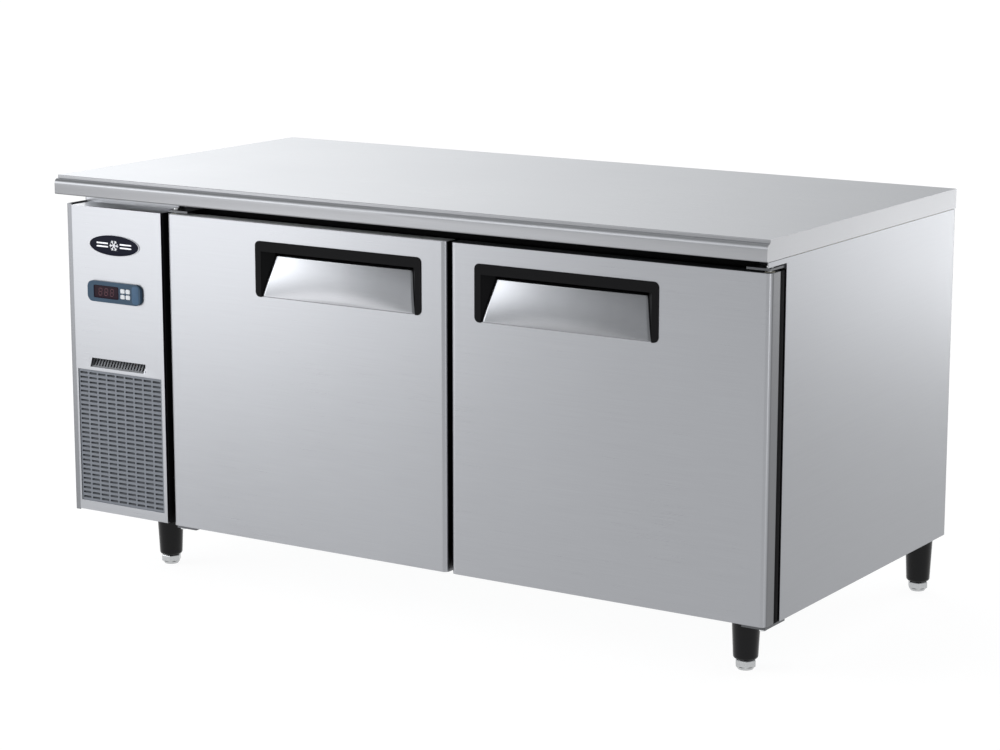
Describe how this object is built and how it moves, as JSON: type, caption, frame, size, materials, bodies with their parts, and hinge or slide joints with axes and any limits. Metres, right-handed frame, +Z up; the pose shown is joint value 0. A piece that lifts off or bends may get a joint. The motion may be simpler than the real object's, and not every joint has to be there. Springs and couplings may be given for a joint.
{
  "type": "undercounter refrigerator",
  "caption": "Steel worktop refrigerator with two hinged doors with recessed grips, a side machine compartment with grille and controller, and levelling legs.",
  "frame": {"origin": "on the floor under the middle of the worktop's footprint", "axes": "+Z up, the doors and the controls face -Y, and +X is to the right of someone facing the doors"},
  "size_m": [1.6, 0.79, 0.8],
  "materials": {
    "brushed_steel": "fine horizontal brushing",
    "bright_steel": "satin",
    "galvanised": "dull zinc",
    "black_plastic": "moulded, fine grain",
    "leg_plastic": "moulded, satin",
    "liner_plastic": "smooth vacuum-formed sheet",
    "foam": "rigid foam",
    "core_board": "sealed board",
    "gasket_rubber": "soft, matt",
    "grille_metal": "satin grey",
    "controller_blue": "satin",
    "display_red": "glossy tinted window",
    "key_plastic": "satin",
    "plate_blue": "glossy enamel",
    "enamel_black": "semi-gloss",
    "aluminium_fins": "mill",
    "copper_tube": "drawn",
    "wire_coated": "plastic-coated wire",
    "bush_nylon": "natural nylon"
  },
  "bodies": {
    "cabinet": {"worktop": "brushed_steel", "worktop_core": "core_board", "right_side_panel": "brushed_steel", "left_side_panel": "brushed_steel", "rear_panel": "galvanised", "bottom_panel": "galvanised", "partition_panel": "galvanised", "insulation": "foam", "inner_liner": "liner_plastic", "front_frame": "black_plastic", "machine_base": "galvanised", "machine_rail": "brushed_steel", "machine_front_panel": "brushed_steel", "machine_grille": "grille_metal", "nameplate": "plate_blue", "controller_bezel": "controller_blue", "controller_body": "black_plastic", "controller_window": "display_red", "condenser_coil": "aluminium_fins", "condenser_shroud": "galvanised", "condenser_motor": "enamel_black", "compressor": "enamel_black", "compressor_mounts": "gasket_rubber", "refrigerant_lines": "copper_tube", "drain_pan": "galvanised", "evaporator_coil": "aluminium_fins", "evaporator_cover": "liner_plastic", "evaporator_motor": "enamel_black", "shelf_left": "wire_coated", "shelf_right": "wire_coated", "shelf_posts": "bright_steel", "shelf_clips": "bright_steel", "hinge_brackets": "bright_steel", "hinge_pins": "bright_steel", "leg_sleeves": "leg_plastic", "power_gland": "black_plastic"},
    "left_door": {"left_door_skin": "brushed_steel", "left_door_foam": "foam", "left_door_liner": "liner_plastic", "left_door_gasket": "gasket_rubber", "left_handle_rim": "black_plastic", "left_handle_scoop": "bright_steel", "left_door_bushes": "bush_nylon"},
    "right_door": {"right_door_skin": "brushed_steel", "right_door_foam": "foam", "right_door_liner": "liner_plastic", "right_door_gasket": "gasket_rubber", "right_handle_rim": "black_plastic", "right_handle_scoop": "bright_steel", "right_door_bushes": "bush_nylon"},
    "button_set": {"button_set": "key_plastic"},
    "button_defrost": {"button_defrost": "key_plastic"},
    "button_up": {"button_up": "key_plastic"},
    "button_down": {"button_down": "key_plastic"},
    "condenser_fan": {"condenser_fan": "aluminium_fins"},
    "evaporator_fan": {"evaporator_fan": "black_plastic"},
    "foot_front_left": {"foot_front_left": "bright_steel"},
    "foot_front_right": {"foot_front_right": "bright_steel"},
    "foot_rear_left": {"foot_rear_left": "bright_steel"},
    "foot_rear_right": {"foot_rear_right": "bright_steel"}
  },
  "joints": [
    {"name": "left_door_hinge", "type": "hinge", "parent": "cabinet", "child": "left_door", "pos_m": [-0.518, -0.357, 0.426], "axis": [0, 0, -1], "range_deg": [0, 105]},
    {"name": "right_door_hinge", "type": "hinge", "parent": "cabinet", "child": "right_door", "pos_m": [0.786, -0.357, 0.426], "axis": [0, 0, 1], "range_deg": [0, 105]},
    {"name": "condenser_fan_spin", "type": "hinge", "parent": "cabinet", "child": "condenser_fan", "pos_m": [-0.66, -0.2, 0.265], "axis": [0, 1, 0], "continuous": true},
    {"name": "evaporator_fan_spin", "type": "hinge", "parent": "cabinet", "child": "evaporator_fan", "pos_m": [0.134, 0.28, 0.56], "axis": [0, 1, 0], "continuous": true},
    {"name": "button_set_press", "type": "slide", "parent": "cabinet", "child": "button_set", "axis": [0, 1, 0], "range_m": [0, 0.0006], "stiffness_N_per_m": 300},
    {"name": "button_defrost_press", "type": "slide", "parent": "cabinet", "child": "button_defrost", "axis": [0, 1, 0], "range_m": [0, 0.0006], "stiffness_N_per_m": 300},
    {"name": "button_up_press", "type": "slide", "parent": "cabinet", "child": "button_up", "axis": [0, 1, 0], "range_m": [0, 0.0006], "stiffness_N_per_m": 300},
    {"name": "button_down_press", "type": "slide", "parent": "cabinet", "child": "button_down", "axis": [0, 1, 0], "range_m": [0, 0.0006], "stiffness_N_per_m": 300},
    {"name": "foot_front_left_adjust", "type": "slide", "parent": "cabinet", "child": "foot_front_left", "axis": [0, 0, -1], "range_m": [0, 0.025]},
    {"name": "foot_front_right_adjust", "type": "slide", "parent": "cabinet", "child": "foot_front_right", "axis": [0, 0, -1], "range_m": [0, 0.025]},
    {"name": "foot_rear_left_adjust", "type": "slide", "parent": "cabinet", "child": "foot_rear_left", "axis": [0, 0, -1], "range_m": [0, 0.025]},
    {"name": "foot_rear_right_adjust", "type": "slide", "parent": "cabinet", "child": "foot_rear_right", "axis": [0, 0, -1], "range_m": [0, 0.025]}
  ]
}
